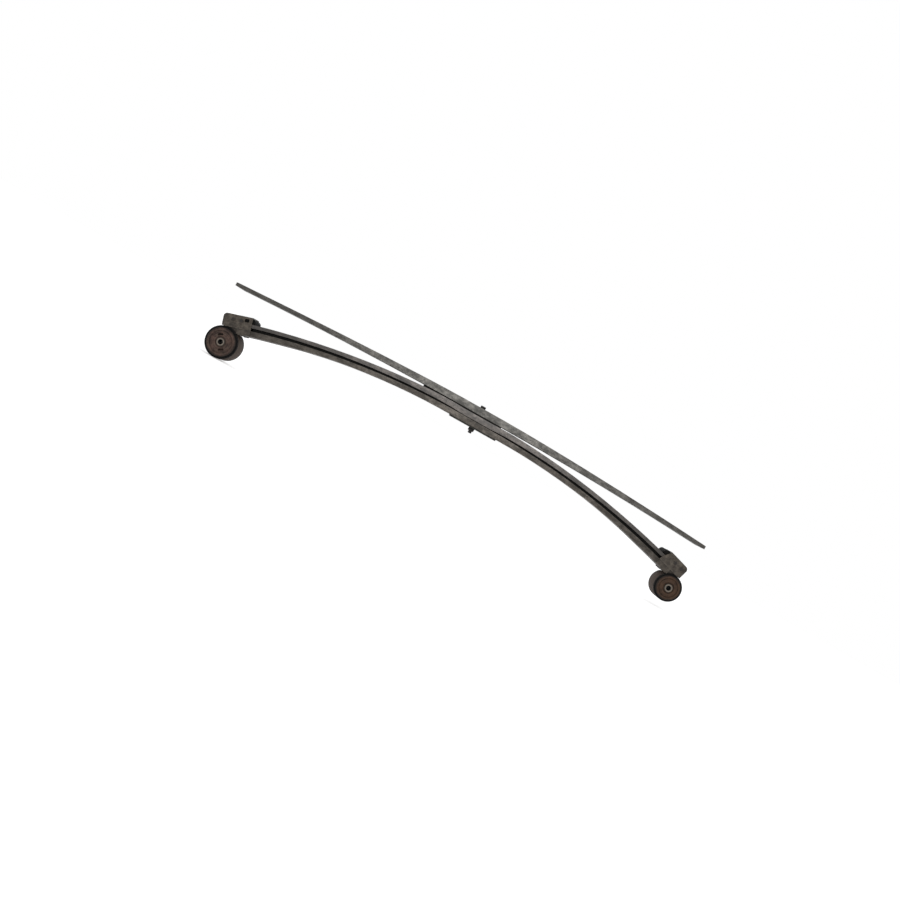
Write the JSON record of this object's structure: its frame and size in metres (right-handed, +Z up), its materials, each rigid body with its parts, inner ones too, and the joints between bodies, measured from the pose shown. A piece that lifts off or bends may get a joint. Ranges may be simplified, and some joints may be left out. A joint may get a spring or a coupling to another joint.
{
  "type": "leaf spring",
  "caption": "Arched vehicle leaf spring with rolled eyes, rubber bushings, tip clips and a straighter overload leaf clamped by a centre bolt.",
  "frame": {"origin": "on the centre bolt's axis, on the overload leaf's flat top face, under the bolt's head", "axes": "+X along the span from the front eye to the rear eye, +Y along the eye axes, +Z up along the centre bolt towards its head; the arch opens downwards"},
  "size_m": [1.4043, 0.079, 0.2337],
  "materials": {
    "spring_steel": "satin dark grey coating over rolled spring steel",
    "spring_steel_light": "satin dark grey coating over rolled spring steel",
    "overload_steel": "satin near-black grey coating over rolled spring steel",
    "liner_plastic": "black moulded strip",
    "liner_rubber": "black moulded strip",
    "plate_steel": "dark grey coating",
    "bolt_steel": "black oxide",
    "shell_steel": "drawn tube",
    "bushing_rubber": "brown-black moulded rubber",
    "sleeve_steel": "zinc-grey turned steel",
    "clip_steel": "brown-grey pressed sheet",
    "block_rubber": "black moulded rubber",
    "pad_plastic": "black wear pad",
    "rivet_steel": "dark formed heads"
  },
  "bodies": {
    "leaf_pack": {"main_leaf": "spring_steel", "second_leaf": "spring_steel_light", "overload_leaf": "overload_steel", "overload_liner": "liner_plastic", "interleaf_liner": "liner_rubber", "seat_plate": "plate_steel", "centre_bolt": "bolt_steel", "centre_nut": "bolt_steel"},
    "front_end": {"front_bushing_shell": "shell_steel", "front_bushing_rubber": "bushing_rubber", "front_tip_clip": "clip_steel", "front_clip_block": "block_rubber", "front_tip_pad": "pad_plastic", "front_clip_rivets": "rivet_steel"},
    "rear_end": {"rear_bushing_shell": "shell_steel", "rear_bushing_rubber": "bushing_rubber", "rear_tip_clip": "clip_steel", "rear_clip_block": "block_rubber", "rear_tip_pad": "pad_plastic", "rear_clip_rivets": "rivet_steel"},
    "front_sleeve": {"front_inner_sleeve": "sleeve_steel"},
    "rear_sleeve": {"rear_inner_sleeve": "sleeve_steel"}
  },
  "joints": [
    {"name": "front_flex", "type": "hinge", "parent": "leaf_pack", "child": "front_end", "pos_m": [-0.15, 0, -0.046], "axis": [0, 1, 0], "range_deg": [0, 5.5], "stiffness_Nm_per_rad": 6000, "springref_deg": -1.15, "deforming": ["main_leaf", "second_leaf", "interleaf_liner"]},
    {"name": "rear_flex", "type": "hinge", "parent": "leaf_pack", "child": "rear_end", "pos_m": [0.145, 0, -0.046], "axis": [0, -1, 0], "range_deg": [0, 5.5], "stiffness_Nm_per_rad": 6000, "springref_deg": -1.15, "deforming": ["main_leaf", "second_leaf", "interleaf_liner"]},
    {"name": "front_bushing_twist", "type": "hinge", "parent": "front_end", "child": "front_sleeve", "pos_m": [-0.677, 0, -0.1826], "axis": [0, 1, 0], "range_deg": [-20, 20], "stiffness_Nm_per_rad": 25},
    {"name": "rear_bushing_twist", "type": "hinge", "parent": "rear_end", "child": "rear_sleeve", "pos_m": [0.6465, 0, -0.169], "axis": [0, 1, 0], "range_deg": [-20, 20], "stiffness_Nm_per_rad": 20}
  ]
}
